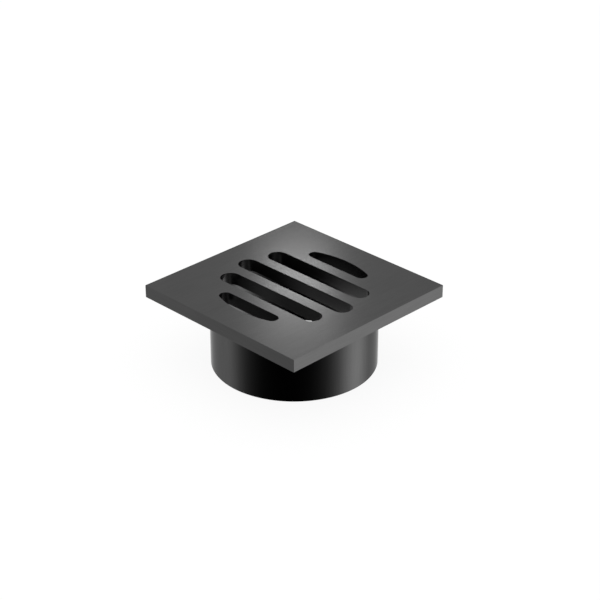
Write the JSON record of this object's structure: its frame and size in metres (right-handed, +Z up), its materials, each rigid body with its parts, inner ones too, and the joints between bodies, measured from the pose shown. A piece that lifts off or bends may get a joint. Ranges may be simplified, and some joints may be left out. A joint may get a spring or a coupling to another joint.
{
  "type": "floor drain grate",
  "caption": "Square slotted floor drain grate in satin black metal, with a short round outlet tube welded under it.",
  "frame": {"origin": "middle of the outlet tube's lower rim, at the height that the part stands on", "axes": "+Z up, from the tube to the plate's top face; the slots run along X; the plate's sides lie along X and Y"},
  "size_m": [0.1, 0.1, 0.04],
  "materials": {
    "plate_finish": "satin",
    "tube_finish": "satin",
    "weld_finish": "satin"
  },
  "bodies": {
    "root": {"grate_plate": "plate_finish", "outlet_tube": "tube_finish", "seam_weld": "weld_finish"}
  },
  "joints": []
}
